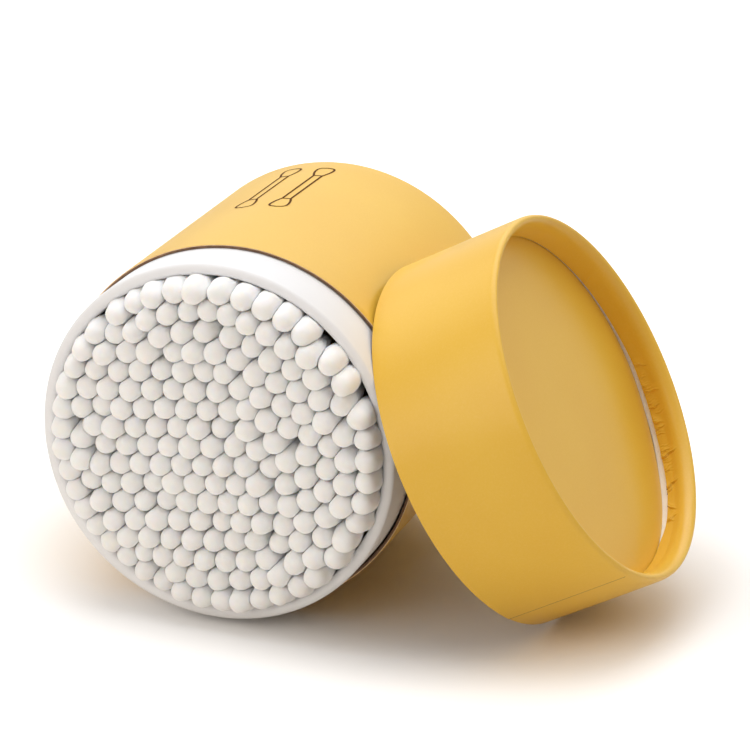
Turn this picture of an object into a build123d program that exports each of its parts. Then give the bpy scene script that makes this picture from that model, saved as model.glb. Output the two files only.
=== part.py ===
from build123d import *

import math
import os
import random

# Casing sizes, in millimetres: the walls are board with its printed paper
body_diameter = 80.0
body_length = 66.0
body_wall = 0.9
lid_overhang = 0.4
lid_length = 29.5
lid_wall = 1.2
recess_depth = 7.4
disc_board = 1.2
disc_clearance = 0.1

# Neck sizes, in millimetres
neck_play = 0.25
neck_height = 11.6
neck_wall = 2.5
neck_clearance = 0.1

# Swab sizes, in millimetres
swab_length = 74.4
head_diameter = 4.5
head_length = 14.0
head_gap = 0.1
tip_round = 1.3
stick_diameter = 2.5
collar = 0.25
swab_seat = 0.2
swab_scatter = 1.2

# Shares and counts
fill_share = 0.80
spread_share = 0.15
easing_share = 0.7
tip_share = 0.6
neck_shift_share = 0.8
head_sides = 5
stick_sides = 3
jumble = 11
settling_rounds = 900

# How the open lid leans on the lying tube, in degrees and millimetres
lid_lean = 28.0
lid_yaw = 88.0
neck_shift_turn = 135.0
lid_along_share = 0.30
lid_clearance = 0.15

body_radius = body_diameter / 2
bore_radius = body_radius - body_wall
lid_radius = body_radius + lid_overhang
lid_bore_radius = lid_radius - lid_wall
neck_radius = bore_radius - neck_play
mouth_radius = neck_radius - neck_wall
neck_shift = neck_shift_share * neck_play
disc_top = recess_depth + disc_board
crest_height = body_length + neck_height


def turned(outline):
    """A ring with the given outline, turned about the upright axis."""
    return revolve(Plane.XZ * make_face(Polyline(*outline, close=True).edges()), Axis.Z)


def rolled_rim(outer, inner, edge, crest):
    """Corners over a rounded edge: half a hexagon, flat along its crest."""
    middle = (outer + inner) / 2
    half = (outer - inner) / 2
    corners = []
    for turn in range(0, 181, 60):
        rise = math.sin(math.radians(turn)) / math.sin(math.radians(60))
        corners.append((middle + half * math.cos(math.radians(turn)), edge + rise * (crest - edge)))
    return corners


def hemmed_tube(radius, wall, length):
    """Printed board tube standing on its hem, where the wall is folded inwards on itself."""
    inner = radius - wall
    folded = radius - 2 * wall
    fold_end = recess_depth - disc_clearance
    rim = rolled_rim(radius, folded, wall, 0)
    return turned([(radius, length), *rim, (folded, fold_end), (inner, fold_end), (inner, length)])


def disc(radius, level):
    """A round of board that closes a tube, its outer face at the given level."""
    low = level + disc_board / 2
    return Pos(0, 0, low) * Cylinder(radius - disc_clearance, disc_board)


def neck():
    """White inner tube with a rounded mouth, glued into the body, where the swabs stand in it."""
    edge = crest_height - neck_wall / 2
    foot = disc_top + neck_clearance
    rim = rolled_rim(neck_radius, mouth_radius, edge, crest_height)
    return turned([(neck_radius, foot), *rim, (mouth_radius, foot)])


def spindle(sides, rings):
    """A flat-sided solid through rings, each a height and a radius to its corners."""
    corners = []
    for height, radius in rings:
        angles = [2 * math.pi * side / sides for side in range(sides)]
        corners.append([(radius * math.cos(a), radius * math.sin(a), height) for a in angles])
    faces = [Face(Wire.make_polygon(corners[0][::-1])), Face(Wire.make_polygon(corners[-1]))]
    for low, high in zip(corners, corners[1:]):
        for side in range(sides):
            beside = (side + 1) % sides
            panel = [low[side], low[beside], high[beside], high[side]]
            faces.append(Face(Wire.make_polygon(panel)))
    return Solid(Shell(faces))


def swab_places():
    """Where the swabs stand in the mouth: spread evenly, then left just clear of each other."""
    pitch = head_diameter + head_gap
    reach = mouth_radius - pitch / 2
    count = round(fill_share * (2 * mouth_radius / pitch) ** 2)
    chance = random.Random(jumble)
    golden = math.pi * (3 - math.sqrt(5))
    places = []
    for i in range(count):
        out = reach * math.sqrt((i + chance.random()) / count)
        turn = golden * i + chance.random()
        places.append([out * math.cos(turn), out * math.sin(turn)])
    for settled in range(settling_rounds):
        spread = pitch * (1 + spread_share * max(0, 1 - settled / (easing_share * settling_rounds)))
        strength = 0.5 if spread == pitch else 0.25
        places.sort()
        for i, one in enumerate(places):
            for other in places[i + 1:]:
                if other[0] - one[0] > spread:
                    break
                apart = math.dist(one, other)
                if 0 < apart < spread:
                    push = strength * (spread - apart) / apart
                    step = [push * (other[k] - one[k]) for k in (0, 1)]
                    for k in (0, 1):
                        one[k] -= step[k]
                        other[k] += step[k]
            out = math.hypot(*one)
            if out > reach:
                one[0] *= reach / out
                one[1] *= reach / out
    return places


def swabs():
    """The sticks and the cotton heads at their two ends, all standing in the neck."""
    chance = random.Random(jumble)
    head_radius = head_diameter / 2
    stick_radius = stick_diameter / 2
    throat = stick_radius + collar
    shoulder = head_length - tip_round
    upper = spindle(head_sides, [(0, throat), (shoulder, head_radius),
                                 (head_length, tip_share * head_radius)])
    lower = spindle(stick_sides, [(0, head_radius), (head_length, throat)])
    stick = spindle(stick_sides, [(0, stick_radius), (swab_length - 2 * head_length, stick_radius)])
    sticks, mouth_heads, base_heads = [], [], []
    for x, y in swab_places():
        foot = disc_top + swab_seat + swab_scatter * chance.random() ** 2
        turned_by = Rot(0, 0, 360 * chance.random())
        base_heads.append(Pos(x, y, foot) * turned_by * lower)
        sticks.append(Pos(x, y, foot + head_length) * turned_by * stick)
        mouth_heads.append(Pos(x, y, foot + swab_length - head_length) * turned_by * upper)
    return sticks, mouth_heads, base_heads


def lid_place():
    """Where the open lid leans: its rim on the ground and against the lying tube."""
    lean = math.radians(lid_lean)
    yaw = math.radians(lid_yaw)
    along = lid_along_share * body_length
    height = lid_radius * math.cos(lean)
    across = (math.cos(yaw), math.sin(yaw))
    out = (math.sin(yaw), -math.cos(yaw))
    reach = 0
    for degree in range(360):
        turn = math.radians(degree)
        for ring in (lid_radius, lid_bore_radius):
            flat = ring * math.cos(turn)
            slope = ring * math.sin(turn)
            x = flat * across[0] - slope * math.sin(lean) * out[0]
            y = along + flat * across[1] - slope * math.sin(lean) * out[1]
            z = height + slope * math.cos(lean)
            tube = body_radius if 0 <= y <= body_length else 0
            if -neck_height <= y < 0:
                tube = neck_radius
            if abs(z - body_radius) < tube:
                side = math.sqrt(tube ** 2 - (z - body_radius) ** 2)
                reach = max(reach, side - x)
    centre = (reach + lid_clearance, along, height)
    axis = (math.cos(lean) * out[0], math.cos(lean) * out[1], math.sin(lean))
    rim = Plane(origin=centre, x_dir=(across[0], across[1], 0), z_dir=axis)
    return rim.location * Pos(0, 0, lid_length) * Rot(180, 0, 0)


# The body lies on its side, mouth towards -Y, and its base stands at +Y
lying = Pos(0, body_length, body_radius) * Rot(90, 0, 0)
shift_turn = math.radians(neck_shift_turn)
seated = lying * Pos(neck_shift * math.cos(shift_turn), neck_shift * math.sin(shift_turn), 0)
leaning = lid_place()
sticks, mouth_heads, base_heads = swabs()

pieces = {
    "body_tube": lying * hemmed_tube(body_radius, body_wall, body_length),
    "base_disc": lying * disc(bore_radius, recess_depth),
    "neck_tube": seated * neck(),
    "bamboo_sticks": seated * Compound(sticks),
    "cotton_heads_mouth": seated * Compound(mouth_heads),
    "cotton_heads_base": seated * Compound(base_heads),
    "lid_tube": leaning * hemmed_tube(lid_radius, lid_wall, lid_length),
    "lid_disc": leaning * disc(lid_bore_radius, recess_depth),
}

# The origin is on the ground, below the middle of the whole
boxes = [piece.bounding_box() for piece in pieces.values()]
middle_x = (min(box.min.X for box in boxes) + max(box.max.X for box in boxes)) / 2
middle_y = (min(box.min.Y for box in boxes) + max(box.max.Y for box in boxes)) / 2
lowest = min(box.min.Z for box in boxes)

os.makedirs("parts", exist_ok=True)
for name, piece in pieces.items():
    export_step(Pos(-middle_x, -middle_y, -lowest) * piece, f"parts/{name}.step")
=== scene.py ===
import math
import random

import bmesh
import bpy
import numpy as np
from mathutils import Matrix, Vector


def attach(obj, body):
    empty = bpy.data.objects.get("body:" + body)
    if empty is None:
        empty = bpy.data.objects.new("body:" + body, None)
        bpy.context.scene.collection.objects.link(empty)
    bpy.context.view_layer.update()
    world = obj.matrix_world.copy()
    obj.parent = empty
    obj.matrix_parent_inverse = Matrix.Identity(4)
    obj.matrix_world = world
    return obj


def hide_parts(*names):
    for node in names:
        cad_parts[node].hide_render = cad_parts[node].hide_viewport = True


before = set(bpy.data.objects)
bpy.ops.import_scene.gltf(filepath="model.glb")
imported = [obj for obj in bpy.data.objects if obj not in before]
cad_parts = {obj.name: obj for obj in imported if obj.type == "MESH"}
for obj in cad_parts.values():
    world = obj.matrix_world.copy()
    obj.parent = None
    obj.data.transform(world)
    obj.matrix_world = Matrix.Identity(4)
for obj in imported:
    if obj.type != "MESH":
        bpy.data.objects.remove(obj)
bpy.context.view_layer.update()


# Camera
# The photograph is a long-lens packshot, taken a little from above and from the right of
# the tube's mouth. The tube and the lid were fitted to it together, which gives this place.

MM = 0.001

photo_camera = bpy.data.cameras.new("packshot_camera")
photo_camera.sensor_width = 36
photo_camera.lens = 172.8
packshot = bpy.data.objects.new("packshot_camera", photo_camera)
packshot.location = Vector((235.746, -681.841, 301.864)) * MM
aim = Vector((-4.241, 3.206, 45.750)) * MM
packshot.rotation_euler = (aim - packshot.location).to_track_quat("-Z", "Y").to_euler()
bpy.context.scene.collection.objects.link(packshot)
bpy.context.scene.camera = packshot


# Printed tube
# The long tube is grey-brown board, wound and then covered with printed paper. The paper goes
# round the foot and 7 mm up inside it. The mouth end is cut, so board and paper show there.

def linear(colour):
    """An sRGB hex colour as the linear RGBA that shaders take."""
    parts = [int(colour[i:i + 2], 16) / 255 for i in (1, 3, 5)]
    return [p / 12.92 if p <= 0.04045 else ((p + 0.055) / 1.055) ** 2.4 for p in parts] + [1.0]


def set_inputs(material, node, inputs):
    """Sets a node's inputs, each to a value or to the output of another node."""
    for name, value in inputs.items():
        if isinstance(value, bpy.types.NodeSocket):
            material.node_tree.links.new(value, node.inputs[name])
        else:
            node.inputs[name].default_value = value


def add_node(material, kind, inputs=None, **settings):
    """Adds a node to a material: settings are its options, inputs its values or links."""
    made = material.node_tree.nodes.new(kind)
    for name, value in settings.items():
        setattr(made, name, value)
    set_inputs(material, made, inputs or {})
    return made


def new_material(name):
    """An empty material with a Principled shader, and that shader."""
    material = bpy.data.materials.new(name)
    material.use_nodes = True
    return material, material.node_tree.nodes["Principled BSDF"]


def in_place(material):
    """The piece's own coordinates, in metres."""
    return add_node(material, "ShaderNodeTexCoord").outputs["Object"]


def grain(material, size, detail, roughness=0.5, distortion=0.0, where=None):
    """Noise from 0 to 1 whose largest grains are size millimetres across."""
    if where is None:
        where = in_place(material)
    return add_node(material, "ShaderNodeTexNoise",
                    {"Vector": where, "Scale": 1 / (size * MM), "Detail": detail,
                     "Roughness": roughness, "Distortion": distortion}).outputs["Fac"]


def two_tones(material, value, low_colour, high_colour, low=0.0, high=1.0):
    """A colour that runs from one to the other while the value goes from low to high."""
    ramp = add_node(material, "ShaderNodeValToRGB", {"Fac": value})
    first, last = ramp.color_ramp.elements
    first.position, last.position = low, high
    first.color, last.color = linear(low_colour), linear(high_colour)
    return ramp.outputs["Color"]


def blended(material, share, colour, other):
    """The first colour where share is 0, the other where it is 1."""
    return add_node(material, "ShaderNodeMix", {0: share, 6: colour, 7: other},
                    data_type="RGBA").outputs[2]


def relief(material, height, strength, distance):
    """A normal for a fine relief that is distance millimetres high."""
    return add_node(material, "ShaderNodeBump",
                    {"Height": height, "Strength": strength,
                     "Distance": distance * MM}).outputs["Normal"]


def add_piece(name, mesh, finishes):
    """Puts a mesh into the scene as a piece with the given materials."""
    for finish in finishes:
        mesh.materials.append(finish)
    piece = bpy.data.objects.new(name, mesh)
    bpy.context.scene.collection.objects.link(piece)
    return piece


def turned_piece(name, centre, axes, section, turns, finishes, push=None):
    """A ring of the given section, turned round the third axis.

    section is a closed loop of (radius, depth, finish) in millimetres, where finish is the index
    of the material from that point to the next. turns is how many sides the ring has, or the
    angles of its sides in degrees. push gives each point its own small shift.
    """
    across, up, along = (np.array(axis, float) for axis in axes)
    radius = np.array([point[0] for point in section], float)
    depth = np.array([point[1] for point in section], float)
    if isinstance(turns, int):
        turn = np.arange(turns) * 2 * math.pi / turns
    else:
        turn, turns = np.radians(turns), len(turns)
    turn_ends = np.append(turn[1:], turn[0] + 2 * math.pi)
    radii = np.repeat(radius[:, None], turns, 1)
    depths = np.repeat(depth[:, None], turns, 1)
    angles = np.repeat(turn[None, :], len(section), 0)
    if push is not None:
        out, on = push(radii, depths, angles)
        radii = radii + out
        depths = depths + on
    places = (np.array(centre, float)
              + depths[..., None] * along
              + (radii * np.cos(angles))[..., None] * across
              + (radii * np.sin(angles))[..., None] * up) * MM
    count = len(section)
    faces, marks, wrapped = [], [], []
    run = np.concatenate([[0], np.cumsum(np.hypot(np.diff(np.append(radius, radius[0])),
                                                  np.diff(np.append(depth, depth[0]))))])
    for i in range(count):
        for j in range(turns):
            k, m = (i + 1) % count, (j + 1) % turns
            faces.append((i * turns + j, i * turns + m, k * turns + m, k * turns + j))
            marks.append(section[i][2])
            near, far = turn[j] * radius[i], turn_ends[j] * radius[i]
            wrapped += [(near, run[i]), (far, run[i]), (far, run[i + 1]), (near, run[i + 1])]
    mesh = bpy.data.meshes.new(name)
    mesh.from_pydata(places.reshape(-1, 3), [], faces)
    mesh.polygons.foreach_set("material_index", marks)
    layer = mesh.uv_layers.new(name="wrap_mm")
    layer.data.foreach_set("uv", np.array(wrapped, np.float32).ravel())
    tidy = bmesh.new()
    tidy.from_mesh(mesh)
    bmesh.ops.recalc_face_normals(tidy, faces=tidy.faces)
    tidy.to_mesh(mesh)
    tidy.free()
    mesh.shade_smooth()
    mesh.set_sharp_from_angle(angle=math.radians(38))
    return add_piece(name, mesh, finishes)


def rolled(outer, inner, crest, peak, outside, inside, steps, finish):
    """Points over a rolled rim: a tight quarter outside its peak, and a long soft one inside.

    peak is the radius at which the rim reaches its crest. outside and inside are how far below
    the crest the roll meets the outer wall and the inner one.
    """
    points = []
    for i in range(steps + 1):
        turn = math.pi / 2 * i / steps
        points.append((peak + (outer - peak) * math.cos(turn),
                       crest - outside * (1 - math.sin(turn)), finish))
    for i in range(1, steps + 1):
        turn = math.pi / 2 * i / steps
        points.append((peak - (peak - inner) * math.sin(turn),
                       crest - inside * (1 - math.cos(turn)), finish))
    return points


def walked_back(section):
    """The same closed loop in the other direction, with each finish on its own stretch."""
    back = section[::-1]
    return [(back[i][0], back[i][1], back[(i + 1) % len(back)][2]) for i in range(len(back))]


def ripples(angles, *terms):
    """Slow and quick waves round a ring added up, each a size, a count and a start."""
    return sum(size * np.sin(count * angles + start) for size, count, start in terms)


# Paper, offset printed in one solid warm yellow and matt laminated: the film gives a wide soft
# shine, and the paper's fibres a faint unevenness, less than half a millimetre across.
laminated_paper, shader = new_material("matt_laminated_paper_yellow")
clouding = grain(laminated_paper, 22, 2.0, 0.4)
fibres = grain(laminated_paper, 0.45, 3.0, 0.6)
light_fibres = add_node(laminated_paper, "ShaderNodeMapRange",
                        {"Value": fibres, "From Min": 0.45, "From Max": 0.8, "To Max": 0.10})
film = add_node(laminated_paper, "ShaderNodeMapRange",
                {"Value": clouding, "To Min": 0.30, "To Max": 0.35})
set_inputs(laminated_paper, shader, {
    "Base Color": blended(laminated_paper, light_fibres.outputs["Result"],
                          two_tones(laminated_paper, clouding, "#E7B73C", "#EABD42", 0.25, 0.75),
                          linear("#FFD887")),
    "Normal": relief(laminated_paper, fibres, 0.18, 0.02),
    "Roughness": film.outputs["Result"],
    "IOR": 1.5,
    "Specular IOR Level": 0.42})

# Greyboard where a knife went through it: brown, fibrous, with its plies as fine lines round
# the edge, about 0.25 mm apart.
cut_board, shader = new_material("cut_greyboard_edge")
wrap = add_node(cut_board, "ShaderNodeUVMap", uv_map="wrap_mm").outputs["UV"]
stretched = add_node(cut_board, "ShaderNodeMapping", {"Vector": wrap, "Scale": (0.5, 4.0, 1.0)})
plies = add_node(cut_board, "ShaderNodeTexNoise",
                 {"Vector": stretched.outputs["Vector"], "Scale": 1.0, "Detail": 4.0})
set_inputs(cut_board, shader, {
    "Base Color": two_tones(cut_board, plies.outputs["Fac"], "#5E4433", "#8E7058", 0.3, 0.7),
    "Normal": relief(cut_board, plies.outputs["Fac"], 0.5, 0.05),
    "Roughness": 0.92})

# The paper's own cut edge: unprinted inside, a thin pale line with a warm cast from the print.
paper_edge, shader = new_material("cut_paper_edge")
set_inputs(paper_edge, shader, {
    "Base Color": two_tones(paper_edge, grain(paper_edge, 1.2, 3.0), "#D9A86A", "#F3DDBB"),
    "Roughness": 0.85})

# The finishes of the tube and the lid, in the order of their materials
PAPER, BOARD, PAPER_END, WHITE = range(4)

tube_middle = (-26.1633, -22.2736, 40.0)
tube_axes = ((0, 0, 1), (1, 0, 0), (0, 1, 0))
tube_radius, tube_wall, tube_length = 40.0, 0.9, 66.0
tube_bore, tube_fold = tube_radius - tube_wall, tube_radius - 2 * tube_wall
hem_depth = 7.3
hem_end = tube_length - hem_depth
paper_thickness = 0.2
corner_width, corner_depth = 0.04, 0.05
crush_width, crush_depth = 0.24, 1.6


def knife_cut(radii, depths, angles):
    """The knife's small wander round the mouth, which fades out over the first 3 mm."""
    wander = ripples(angles, (0.05, 5, 1.0), (0.035, 13, 0.0), (0.02, 37, 2.0))
    near_mouth = np.clip(1 - depths / 3.0, 0, 1)
    return np.zeros_like(radii), near_mouth * wander


tube_section = [(tube_bore, crush_depth, BOARD),
                (tube_bore + crush_width, 0.0, BOARD),
                (tube_radius - paper_thickness, 0.0, PAPER_END),
                (tube_radius - corner_width, 0.0, PAPER),
                (tube_radius, corner_depth, PAPER)]
tube_section += [(tube_radius, depth, PAPER) for depth in (1.5, 3.0, 20.0, 40.0, 60.0)]
tube_section += rolled(tube_radius, tube_fold, tube_length, peak=tube_radius - 0.7,
                       outside=0.8, inside=2.4, steps=8, finish=PAPER)
tube_section += [(tube_fold, hem_end, PAPER_END),
                 (tube_fold + paper_thickness, hem_end, BOARD),
                 (tube_bore, hem_end, BOARD)]
printed_tube = turned_piece("printed_tube", tube_middle, tube_axes, walked_back(tube_section), 360,
                            [laminated_paper, cut_board, paper_edge], knife_cut)
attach(printed_tube, "root")
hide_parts("body_tube")


# Printed signs
# Two swabs drawn in outline, the common sign for such a box. They are one brown ink, laid on
# the paper before the film, with lines half a millimetre wide.

brown_ink, shader = new_material("brown_offset_ink")
set_inputs(brown_ink, shader, {
    "Base Color": two_tones(brown_ink, grain(brown_ink, 0.3, 2.0), "#4A2A08", "#66400F"),
    "Roughness": 0.6,
    "Specular IOR Level": 0.05})

sign_length, sign_head, sign_head_half, sign_stick_half = 31.0, 6.2, 2.0, 0.98
sign_tilt = math.radians(1.2)
line_width, ink_height = 0.52, 0.04
widening, rounding, roundness = 0.72, 0.28, 2.4


def head_outline(end, back):
    """A swab's head as a drawn line: from one side of the stick round the tip to the other."""
    side = []
    for i in range(25):
        share = i / 24
        if share < widening:
            ease = math.sin(math.pi / 2 * share / widening) ** 0.9
            half = sign_stick_half + (sign_head_half - sign_stick_half) * ease
        else:
            left = max(0.0, 1 - ((share - widening) / rounding) ** roundness)
            half = sign_head_half * left ** (1 / roundness)
        side.append((back + (end - back) * share, half))
    return side + [(along, -half) for along, half in side[-2::-1]]


def line_on_tube(points, start, vertices, faces):
    """Lays a drawn line on the tube's paper as a flat ribbon.

    start is where the sign begins: degrees round from the top, and millimetres from the mouth.
    """
    flat = np.array(points, float)
    step = np.gradient(flat, axis=0)
    step /= np.maximum(np.linalg.norm(step, axis=1), 1e-9)[:, None]
    side = np.stack([-step[:, 1], step[:, 0]], 1) * line_width / 2
    first = len(vertices)
    for edge in (flat + side, flat - side):
        along = edge[:, 0] * math.cos(sign_tilt) - edge[:, 1] * math.sin(sign_tilt)
        round_it = edge[:, 0] * math.sin(sign_tilt) + edge[:, 1] * math.cos(sign_tilt)
        for a, b in zip(along, round_it):
            turn = math.radians(start[0]) + b / tube_radius
            out = tube_radius + ink_height
            vertices.append(((tube_middle[0] + out * math.sin(turn)) * MM,
                             (tube_middle[1] + start[1] + a) * MM,
                             (tube_middle[2] + out * math.cos(turn)) * MM))
    count = len(flat)
    for i in range(count - 1):
        faces.append((first + i, first + i + 1, first + count + i + 1, first + count + i))


sign_vertices, sign_faces = [], []
back_low, back_high = sign_head, sign_length - sign_head
sign_lines = [head_outline(0.0, back_low), head_outline(sign_length, back_high)]
for half in (-sign_stick_half, sign_stick_half):
    sign_lines.append([(back_low + (back_high - back_low) * i / 12, half) for i in range(13)])
for cross in (back_low, back_high):
    sign_lines.append([(cross, sign_stick_half * (1 - i / 3)) for i in range(7)])
for sign_start in ((-14.2, 29.6), (-2.65, 29.2)):
    for line in sign_lines:
        line_on_tube(line, sign_start, sign_vertices, sign_faces)
sign_mesh = bpy.data.meshes.new("printed_signs")
sign_mesh.from_pydata(sign_vertices, [], sign_faces)
printed_signs = add_piece("printed_signs", sign_mesh, [brown_ink])
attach(printed_signs, "root")


# Base disc
# A round of board, covered with the same paper, is glued in above the hem at the foot. Its
# shape is the CAD node's own.

def dress(node, finish):
    """Gives a CAD node its finish."""
    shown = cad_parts[node]
    shown.data.materials.clear()
    shown.data.materials.append(finish)


dress("base_disc", laminated_paper)


# White neck
# The inner tube is lined white and stands almost 12 mm out of the printed one, so that the lid
# has something to grip. Its mouth is turned in and pressed round, not quite evenly.

white_board, shader = new_material("white_lined_board")
tooth = grain(white_board, 0.6, 4.0, 0.6)
set_inputs(white_board, shader, {
    "Base Color": two_tones(white_board, grain(white_board, 18, 2.0), "#ECECEE", "#F2F3F5"),
    "Normal": relief(white_board, tooth, 0.25, 0.03),
    "Roughness": 0.55})

neck_radius, neck_wall, neck_height = 38.85, 2.5, 11.6
neck_bore = neck_radius - neck_wall
neck_foot = 57.3
neck_swell = 0.2
off_centre = 0.1414
neck_middle = (tube_middle[0] - off_centre, tube_middle[1], tube_middle[2] + off_centre)


def pressed_mouth(radii, depths, angles):
    """Slow waves of the turned-in mouth, strongest on its inner side."""
    fade = 3.5
    at_mouth = np.clip((fade + (-depths - 8.0)) / fade, 0, 1) * (depths < -6)
    inner = np.clip((neck_radius - radii) / neck_wall, 0, 1)
    wave = ripples(angles, (0.10, 3, 0.4), (0.07, 7, 2.1), (0.04, 17, 0.0))
    return at_mouth * inner * wave, at_mouth * 0.05 * np.sin(4 * angles + 1.0)


# Outside the printed tube the neck is a little wider than in it, so that it hides the play
# between the two.
neck_section = [(neck_bore, neck_foot, 0), (neck_radius, neck_foot, 0),
                (neck_radius, 30.0, 0), (neck_radius, 1.6, 0)]
neck_section += [(neck_radius + neck_swell, depth, 0) for depth in (0.2, -4.0, -8.0)]
neck_section += rolled(neck_radius + neck_swell, neck_bore, -neck_height, peak=neck_radius - 1.2,
                       outside=-1.0, inside=-1.8, steps=8, finish=0)
neck_section += [(neck_bore, depth, 0) for depth in (-8.0, -5.0, 0.0, 30.0)]
white_neck = turned_piece("white_neck", neck_middle, tube_axes, neck_section, 288,
                          [white_board], pressed_mouth)
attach(white_neck, "root")
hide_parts("neck_tube")


# Cotton heads
# 200 swabs stand in the neck. Each head is cotton wound on the stick's end and pressed in a
# former, so that it is a smooth drop with a blunt tip, and each presses on its neighbours.

pressed_cotton, shader = new_material("wound_pressed_cotton")
tufts = grain(pressed_cotton, 1.1, 5.0, 0.65, distortion=0.6)
lint = grain(pressed_cotton, 0.22, 2.0, 0.7)
heights = add_node(pressed_cotton, "ShaderNodeMath", {0: lint, 1: 0.3, 2: tufts},
                   operation="MULTIPLY_ADD")
set_inputs(pressed_cotton, shader, {
    "Base Color": two_tones(pressed_cotton, tufts, "#F9FAFB", "#FDFEFF"),
    "Normal": relief(pressed_cotton, heights.outputs["Value"], 0.35, 0.12),
    "Roughness": 0.95,
    "Specular IOR Level": 0.25,
    "Sheen Weight": 0.25,
    "Sheen Roughness": 0.6,
    "Subsurface Weight": 0.85,
    "Subsurface Radius": (1.0, 0.85, 0.7),
    "Subsurface Scale": 1.8 * MM})

swab_count = 200
corners = np.array([v.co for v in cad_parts["cotton_heads_mouth"].data.vertices], float)
corners = corners.reshape(swab_count, -1, 3) / MM
head_x, head_z = corners[:, :, 0].mean(1), corners[:, :, 2].mean(1)
tips, backs = corners[:, :, 1].min(1), corners[:, :, 1].max(1)
seats = np.stack([head_x, head_z], 1)
neck_axis = np.array([neck_middle[0], neck_middle[2]])

# The tips settle from their seats: each pushes others off until they are a full head apart,
# is drawn back a little, and stays inside the mouth. The upper right has a little more room.
full_head, push_share, draw_share = 5.25, 0.12, 0.015
mouth_room, more_room = 33.9, 0.7
upper_right = np.array([0.85, 0.53])
far_away = 99.0
spots = seats.copy()
for _ in range(300):
    gaps = spots[:, None] - spots[None]
    apart = np.linalg.norm(gaps, axis=2) + 1e-9
    np.fill_diagonal(apart, far_away)
    closer = np.clip(full_head - apart, 0, None)[..., None]
    spots += (gaps / apart[..., None] * closer).sum(1) * push_share
    spots += (seats - spots) * draw_share
    reach = np.linalg.norm(spots - neck_axis, axis=1)
    upward = (spots - neck_axis) @ upper_right / reach
    room = mouth_room + more_room * upward
    spots = neck_axis + (spots - neck_axis) * np.minimum(1, room / reach)[:, None]
leans = spots - seats

# What each head has of its own: half its width, how deep it sits, how long its rounded tip is,
# and where its lumps lie. Towards the lower left they sit deeper.
chance = random.Random(5)
head_halves = np.array([chance.uniform(2.3, 2.58) for _ in tips])
sinks = np.array([1.4 * chance.random() ** 3 - 0.3 * chance.random() for _ in tips])
sinks += 0.8 * (1 - upward * reach / 35)
blunts = np.array([chance.uniform(2.3, 3.1) for _ in tips])
lump_starts = np.array([[chance.uniform(0, 2 * math.pi) for _ in range(4)] for _ in tips])

around = 28
turn = np.arange(around) * 2 * math.pi / around
rings = [0.0, 0.08, 0.3, 0.65, 1.1, 1.6, 2.2, 2.9, 3.7, 4.7, 6.0, 8.0, 11.0, 14.0]
head_length, belly_depth, belly, throat = 14, 5.0, 0.55, 0.95
neighbour_reach, head_gap = 6.5, 0.02
mouth_edge = tube_middle[1] - neck_height
mouth_gap, mouth_flare, flare_depth = 0.15, 1.3, 1.4


def head_profile(down, half, blunt):
    """Half the width of a head at a depth below its tip: rounded tip, belly, long taper."""
    if down < blunt:
        return half * (1 - (1 - down / blunt) ** 2.1) ** 0.5
    if down < belly_depth:
        return half + belly * (down - blunt) / (belly_depth - blunt)
    share = (down - belly_depth) / (head_length - belly_depth)
    return half + belly - (half - throat) * share ** 1.5


def mouth_limit(level):
    """How far from the neck's axis a head can reach at a level: the mouth's wall and its flare."""
    if level <= mouth_edge:
        return far_away
    above = 1 - np.clip((level - mouth_edge) / flare_depth, 0, 1)
    return neck_bore - mouth_gap + mouth_flare * (1 - math.sqrt(1 - above ** 2))


vertices, faces = [], []
for i, tip in enumerate(tips):
    near = [j for j in range(len(tips))
            if j != i and math.dist(spots[j], spots[i]) < neighbour_reach]
    first = len(vertices)
    for row, down in enumerate(rings):
        half = head_profile(down, head_halves[i], blunts[i])
        deep = (1 - down / head_length) ** 1.1
        middle = seats[i] + leans[i] * deep
        lumps = 1 + 0.022 * np.sin(2 * turn + lump_starts[i, 0] + 0.15 * down) \
            + 0.016 * np.sin(3 * turn + lump_starts[i, 1] - 0.2 * down) \
            + 0.009 * np.sin(5 * turn + lump_starts[i, 2] + 0.4 * down)
        ring = np.stack([np.cos(turn), np.sin(turn)], 1) * (half * lumps)[:, None]
        for j in near:
            between = seats[j] + leans[j] * deep - middle
            far = np.linalg.norm(between)
            between /= far
            over = ring @ between - (far / 2 - head_gap)
            ring -= np.clip(over, 0, None)[:, None] * between
        level = tip + sinks[i] + down
        out = ring + middle - neck_axis
        reach = np.linalg.norm(out, axis=1)
        share = np.minimum(1, mouth_limit(level) / np.maximum(reach, 1e-9))
        ring = neck_axis + out * share[:, None] - middle
        droop = 0.16 * np.cos(turn + lump_starts[i, 3]) * (half / head_halves[i]) \
            * (down < blunts[i])
        for k in range(1 if row == 0 else around):
            spot = ring[k] if row else np.zeros(2)
            vertices.append(((middle[0] + spot[0]) * MM,
                             (level + (droop[k] if row else 0)) * MM,
                             (middle[1] + spot[1]) * MM))
    for k in range(around):
        faces.append((first, first + 1 + k, first + 1 + (k + 1) % around))
    for row in range(len(rings) - 2):
        low, high = first + 1 + row * around, first + 1 + (row + 1) * around
        for k in range(around):
            m = (k + 1) % around
            faces.append((low + k, high + k, high + m, low + m))
    faces.append(tuple(high + k for k in range(around - 1, -1, -1)))
heads_mesh = bpy.data.meshes.new("cotton_heads")
heads_mesh.from_pydata(vertices, [], faces)
heads_mesh.shade_smooth()
cotton_heads = add_piece("cotton_heads", heads_mesh, [pressed_cotton])
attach(cotton_heads, "root")
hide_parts("cotton_heads_mouth")
dress("cotton_heads_base", pressed_cotton)


# Bamboo sticks
# The sticks are split bamboo, turned to 2.5 mm and left bare. Only a glimpse of them shows
# between the heads, so they are plain round rods with the bamboo's long fibres as colour.

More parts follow.
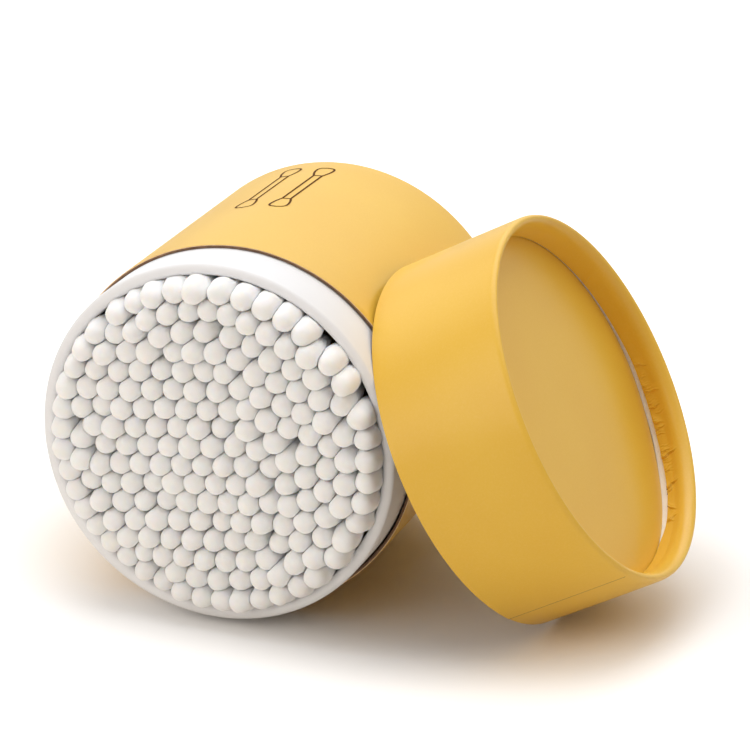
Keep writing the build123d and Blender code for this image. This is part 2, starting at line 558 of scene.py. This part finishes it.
bare_bamboo, shader = new_material("turned_bamboo")
drawn = add_node(bare_bamboo, "ShaderNodeMapping",
                 {"Vector": in_place(bare_bamboo), "Scale": (1.0, 0.04, 1.0)})
streaks = grain(bare_bamboo, 0.35, 4.0, where=drawn.outputs["Vector"])
set_inputs(bare_bamboo, shader, {
    "Base Color": two_tones(bare_bamboo, streaks, "#B98F55", "#E6CB97"),
    "Roughness": 0.6})

rod_sides, rod_radius, rod_length = 10, 1.25, 46.4
into_mouth_head, into_base_head = 3.0, 1.0
vertices, faces = [], []
for i, back in enumerate(backs):
    first = len(vertices)
    for end in (back - into_mouth_head, back + rod_length + into_base_head):
        for k in range(rod_sides):
            turn_k = 2 * math.pi * k / rod_sides
            vertices.append(((head_x[i] + rod_radius * math.cos(turn_k)) * MM, end * MM,
                             (head_z[i] + rod_radius * math.sin(turn_k)) * MM))
    for k in range(rod_sides):
        m = (k + 1) % rod_sides
        faces.append((first + k, first + rod_sides + k, first + rod_sides + m, first + m))
    faces.append(tuple(first + k for k in range(rod_sides)))
    faces.append(tuple(first + rod_sides + k for k in range(rod_sides - 1, -1, -1)))
rods_mesh = bpy.data.meshes.new("bamboo_rods")
rods_mesh.from_pydata(vertices, [], faces)
rods_mesh.shade_smooth()
rods_mesh.set_sharp_from_angle(angle=math.radians(50))
bamboo_rods = add_piece("bamboo_rods", rods_mesh, [bare_bamboo])
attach(bamboo_rods, "root")
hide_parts("bamboo_sticks")


# Lid
# The lid is heavier board in the same paper, which goes over the top rim and down inside it to
# the disc. That paper is gathered, so it creases, and it stops short at one side. The lid leans
# with its open end on the ground and on the tube, and its top to the camera.

lid_yaw, lid_lean = math.radians(88), math.radians(28)
lid_middle = (21.4070, -2.4736, 35.6711)
lid_out = Vector((math.cos(lid_lean) * math.sin(lid_yaw), -math.cos(lid_lean) * math.cos(lid_yaw),
                  math.sin(lid_lean)))
lid_across = Vector((math.cos(lid_yaw), math.sin(lid_yaw), 0))
lid_axes = (lid_across, lid_out.cross(lid_across), lid_out)
lid_radius, lid_wall, lid_length = 40.4, 1.2, 29.5
lid_bore, lid_fold = lid_radius - lid_wall, lid_radius - 2 * lid_wall
turn_in_end = lid_length - 7.3

# Each crease has its angle in degrees where the paper ends, how that changes in degrees for
# each millimetre up, its height, and how far up from the paper's end it begins and ends.
creases = [(355.3, -0.5, 0.13, 0.2, 2.8), (347.6, -0.2, 0.09, 0.0, 1.6),
           (345.2, -0.15, 0.15, 0.1, 3.6), (339.4, 0.1, 0.17, 0.2, 2.6),
           (336.8, 0.2, 0.09, 1.9, 3.4), (334.6, -0.3, 0.10, 0.3, 2.2),
           (331.8, 0.3, 0.14, 0.2, 2.4), (330.4, -0.2, 0.11, 0.2, 2.0),
           (321.6, 0.35, 0.17, 0.1, 4.0), (310.2, 0.5, 0.19, 0.0, 3.4),
           (308.4, 0.6, 0.13, 0.0, 2.2), (303.2, -0.9, 0.15, 0.1, 2.8),
           (297.6, -0.8, 0.12, 1.4, 2.5), (295.6, 0.6, 0.16, 0.3, 3.0),
           (28.0, 0.9, 0.10, 0.4, 2.4)]
# Finer ones lie in four bunches: the middle of each, how wide it spreads, and how many it has
gathers = random.Random(8)
for middle_angle, spread, many in ((348, 7, 13), (333, 6, 11), (324, 4, 8), (318, 3, 5)):
    for _ in range(many):
        begin = gathers.uniform(0, 0.6)
        creases.append((gathers.gauss(middle_angle, spread / 2), gathers.uniform(-0.5, 0.5),
                        gathers.uniform(0.03, 0.075), begin, begin + gathers.uniform(0.6, 2.2)))

# How far short of the disc the turned-in paper stops, by the angle in degrees
paper_short = [(-74, 0), (-70, 0.40), (-66, 0.80), (-62, 0.95), (-50, 1.0), (-45, 0.8),
               (-38, 0.55), (-30, 0.42), (-20, 0.4), (-10, 0.5), (-4, 0.55), (6, 0.4),
               (16, 0.28), (30, 0.15), (42, 0)]
seam_angle, seam_half, lap_width, lap_height = 233, 0.21, 12, 0.10
bead_angle, bead_spread, bead_length, bead_height = 315, 48, 4.6, 0.45
oval_angle, oval_from, oval_press = math.radians(335), 15, 0.9


def turn_from(degrees, place):
    """How many degrees round an angle is from a place, from -180 to 180."""
    return (degrees - place + 180) % 360 - 180


def hill(offset, width):
    """A smooth hill that is 1 at no offset and almost flat at twice its width."""
    return np.exp(-(offset / width) ** 2)


def gathered_paper(radii, depths, angles):
    """How the lid's paper and rim differ from a plain turned ring.

    The turned-in paper has creases and an uneven end, and the paper outside laps at its seam.
    The top rim's inner roll is fuller on one side, and the lid is pressed oval towards it.
    """
    degrees = np.degrees(angles) % 360
    inner = (radii < lid_bore) & (depths > turn_in_end - 0.1)
    up = np.clip(depths - turn_in_end, 0, None)
    folds = np.zeros_like(radii)
    # A crease is a sharp ridge, with a narrow valley on one side and a low swelling on the other
    for place, slope, height, start, end in creases:
        bend = 0.22 * np.sin(2.6 * up + place)
        offset = turn_from(degrees, place + slope * up + bend)
        ridge = hill(offset, 0.24) - 0.6 * hill(offset + 0.45, 0.3)
        swelling = 0.35 * hill(offset - 0.9, 0.8)
        along = np.clip((up - start + 0.3) / 0.3, 0, 1) * np.clip((end + 0.7 - up) / 0.9, 0, 1)
        folds -= inner * 1.6 * height * (ridge + swelling) * along
    out = np.minimum(folds, 0.13)
    out += inner * 0.012 * np.sin(np.radians(degrees) * 61 + up) * np.clip(1 - up / 5, 0, 1)
    short = np.interp(turn_from(degrees, 0), *zip(*paper_short))
    at_end = (radii < lid_bore - 0.02) & (depths < turn_in_end + 2.0)
    on = at_end * short * np.clip(1 - up / 2.4, 0, 1)
    outer = (radii > lid_radius - 0.15) & (depths < lid_length - 0.5)
    from_seam = turn_from(degrees, seam_angle)
    lap = (from_seam < 0) & (from_seam > -lap_width)
    out += outer * lap * lap_height * (1 + from_seam / lap_width)
    out += outer * 0.05 * np.sin(3 * angles + 1.0) * np.sin(depths / 9.0)
    over_rim = np.clip((depths - lid_length + bead_length) / bead_length, 0, 1)
    bead = (radii < lid_radius - 0.82) * np.sin(math.pi * over_rim) ** 1.2
    out -= bead_height * bead * hill(turn_from(degrees, bead_angle), bead_spread)
    to_rim = np.clip((depths - oval_from) / (lid_length - oval_from), 0, 1) ** 1.6
    out -= oval_press * np.cos(angles - oval_angle) ** 2 * to_rim
    return out, on


lid_section = [(lid_bore, 0.0, BOARD),
               (lid_radius - paper_thickness, 0.0, PAPER_END),
               (lid_radius - corner_width, 0.0, PAPER),
               (lid_radius, corner_depth, PAPER)]
lid_section += [(lid_radius, depth, PAPER) for depth in (7.0, 14.0, 21.0, 27.0)]
lid_section += rolled(lid_radius, lid_fold, lid_length, peak=lid_radius - 0.8,
                      outside=1.3, inside=3.6, steps=14, finish=PAPER)
lid_section += [(lid_fold, turn_in_end + up, PAPER)
                for up in (3.4, 3.1, 2.8, 2.5, 2.2, 1.9, 1.6, 1.3, 1.0, 0.7, 0.45, 0.2)]
lid_section += [(lid_fold, turn_in_end, PAPER_END),
                (lid_fold + paper_thickness, turn_in_end, BOARD),
                (lid_bore, turn_in_end, WHITE)]
lid_section = walked_back(lid_section)

# The sides are narrowest where the creases are, and narrow again at the seam
lid_angles = np.concatenate([np.arange(-72, 2, 0.075), np.arange(2, 40, 0.3),
                             np.arange(40, 231, 1), np.arange(231, 236, 0.1),
                             np.arange(236, 288, 0.8)])
lid_shell = turned_piece("lid_shell", lid_middle, lid_axes, lid_section, lid_angles,
                         [laminated_paper, cut_board, paper_edge, white_board], gathered_paper)

# At the seam a hair-wide strip of the paper takes the brown board finish: painted shade in the
# crevice at the lap's edge
seam_shade_columns = np.flatnonzero(np.abs(lid_angles - seam_angle) < seam_half)
for i, (radius, depth, _) in enumerate(lid_section):
    if radius == lid_radius and depth > corner_depth:
        for j in seam_shade_columns:
            lid_shell.data.polygons[i * len(lid_angles) + j].material_index = BOARD
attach(lid_shell, "root")
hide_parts("lid_tube")


# Turned-in board
# Behind the turned-in paper the board itself is folded down to the disc, white side out. It
# shows as a pale crescent where the paper stops short.

unprinted_side, shader = new_material("white_liner_of_greyboard")
flecks = grain(unprinted_side, 0.8, 4.0)
level = add_node(unprinted_side, "ShaderNodeSeparateXYZ", {"Vector": in_place(unprinted_side)})
# Painted shade: the ring is darker and greyer towards its top, where the rim above shades it, and
# white towards its foot
painted_shade_by_height = add_node(unprinted_side, "ShaderNodeMapRange",
                     {"Value": level.outputs["Z"], "From Min": 14 * MM, "From Max": 62 * MM,
                      "To Min": 0.95, "To Max": -0.30})
flecks_and_painted_shade = add_node(unprinted_side, "ShaderNodeMath",
                    {0: flecks, 1: painted_shade_by_height.outputs["Result"]}, operation="ADD")
set_inputs(unprinted_side, shader, {
    "Base Color": two_tones(unprinted_side, flecks_and_painted_shade.outputs["Value"], "#D3C8C8", "#FFFFFF"),
    "Roughness": 0.7})

liner_radius = lid_fold + 0.24
liner_top, liner_foot = turn_in_end + 2.6, turn_in_end - 0.9
liner_section = [(liner_radius, liner_top, 0), (liner_radius, turn_in_end + 1.2, 0),
                 (liner_radius, liner_foot, 0), (lid_bore, liner_foot, 0),
                 (lid_bore, liner_top, 0)]
turned_board = turned_piece("turned_in_board", lid_middle, lid_axes, liner_section, 240,
                            [unprinted_side])
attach(turned_board, "root")


# Lid disc
# The round that closes the lid is board under the same paper, pressed in against the fold. It
# isn't quite flat: it sinks a little towards one side, and its edge is pressed down all round.

disc_level, disc_reach = lid_length - 7.4, 38.12
disc_back = disc_level - 1.2
pinhole = 0.02
disc_section = [(pinhole, disc_back, 0), (pinhole, disc_level, 0)]
disc_section += [(radius, disc_level, 0) for radius in
                 (4, 9, 14, 19, 24, 28, 31, 33.5, 35.5, 36.8, 37.5, 37.9, 38.1)]
disc_section += [(disc_reach, disc_level - 0.2, 0)]
disc_section += [(radius, disc_back, 0) for radius in (disc_reach, 30.0, 15.0)]


def pressed_disc(radii, depths, angles):
    """The disc's sag to one side, its pressed edge, and slow waves of damp board."""
    share = radii / 38.0
    sag = 0.75 * hill(turn_from(np.degrees(angles), 328), 26) * share ** 4
    edge = 0.12 * np.clip((radii - 36.4) / 1.6, 0, 1) ** 2
    waves = 0.05 * np.sin(2 * angles + 0.7) * share + 0.04 * np.sin(radii / 5.5)
    return np.zeros_like(radii), -(sag + edge) + waves * (1 - share ** 4)


lid_round = turned_piece("lid_round", lid_middle, lid_axes, disc_section, 240,
                         [laminated_paper], pressed_disc)
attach(lid_round, "root")
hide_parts("lid_disc")


# Studio
# A pale sweep of paper under large soft lights: two above and behind, and a card on each of
# three sides, with the room's own light all round. Away from the object, the camera sees it white.

white_sweep, shader = new_material("pale_studio_floor")
# To the light it bounces the floor is a little warmer than the camera sees it: painted warm bounce
# light
seen = add_node(white_sweep, "ShaderNodeLightPath").outputs["Is Camera Ray"]
set_inputs(white_sweep, shader, {
    "Base Color": blended(white_sweep, seen, linear("#F2EDE5"), linear("#F2F1F0")),
    "Roughness": 0.9,
    "Specular IOR Level": 0.1})

# The haze begins at an oval round the object and its shadow, and only the camera sees it
haze_stretch, haze_shift = (1.0, 1.5, 0.0), (0.004, -0.019, 0.0)
from_set = add_node(white_sweep, "ShaderNodeVectorMath",
                    {0: in_place(white_sweep), 1: haze_stretch, 2: haze_shift},
                    operation="MULTIPLY_ADD")
away = add_node(white_sweep, "ShaderNodeVectorMath", {0: from_set.outputs["Vector"]},
                operation="LENGTH")
haze = add_node(white_sweep, "ShaderNodeMapRange",
                {"Value": away.outputs["Value"], "From Min": 59 * MM, "From Max": 112 * MM,
                 "To Min": 0.0, "To Max": 0.38}, interpolation_type="SMOOTHSTEP")
glow = add_node(white_sweep, "ShaderNodeEmission",
                {"Color": (1, 1, 1, 1), "Strength": haze.outputs["Result"]})
both = add_node(white_sweep, "ShaderNodeAddShader",
                {0: shader.outputs["BSDF"], 1: glow.outputs["Emission"]})
for_camera = add_node(white_sweep, "ShaderNodeMixShader",
                      {0: seen, 1: shader.outputs["BSDF"], 2: both.outputs["Shader"]})
set_inputs(white_sweep, white_sweep.node_tree.nodes["Material Output"],
           {"Surface": for_camera.outputs["Shader"]})
bpy.ops.mesh.primitive_plane_add(size=8, location=(0, 0, -0.0003))
floor = bpy.context.object
floor.name = "studio_floor"
floor.data.materials.append(white_sweep)

# The room is white where the camera looks at it or into its mirror image, and dimmer and
# warmer as a light.
room = bpy.data.worlds.new("studio_room")
bpy.context.scene.world = room
room.use_nodes = True
path = add_node(room, "ShaderNodeLightPath")
either = add_node(room, "ShaderNodeMath",
                  {0: path.outputs["Is Camera Ray"], 1: path.outputs["Is Glossy Ray"]},
                  operation="MAXIMUM")
shown = add_node(room, "ShaderNodeMath",
                 {0: either.outputs["Value"], 1: path.outputs["Is Transmission Ray"]},
                 operation="MAXIMUM").outputs["Value"]
strength = add_node(room, "ShaderNodeMapRange", {"Value": shown, "To Min": 0.25, "To Max": 1.0})
set_inputs(room, room.node_tree.nodes["Background"], {
    "Strength": strength.outputs["Result"],
    "Color": blended(room, shown, linear("#FFF5EC"), (1, 1, 1, 1))})

# Each lamp's place is in millimetres and its power in watts
for lamp_name, place, power, tint in (
        ("overhead_softbox", (-60, 60, 900), 3.1, "#F8FBFF"),
        ("back_softbox", (-50, 500, 740), 2.3, "#F8FBFF"),
        ("right_card", (450, 0, 760), 1.9, "#FFFCF8"),
        ("front_card", (-370, -710, 435), 2.8, "#FFF7EE"),
        ("left_card", (-780, 160, 560), 1.4, "#F8FBFF")):
    lamp = bpy.data.lights.new(lamp_name, "AREA")
    lamp.shape = "SQUARE"
    lamp.size = 0.7
    lamp.energy = power
    lamp.color = linear(tint)[:3]
    lamp_stand = bpy.data.objects.new(lamp_name, lamp)
    lamp_stand.location = Vector(place) * MM
    towards = Vector((0, 0, 40)) * MM - lamp_stand.location
    lamp_stand.rotation_euler = towards.to_track_quat("-Z", "Y").to_euler()
    bpy.context.scene.collection.objects.link(lamp_stand)

bpy.context.scene.view_settings.view_transform = "Standard"
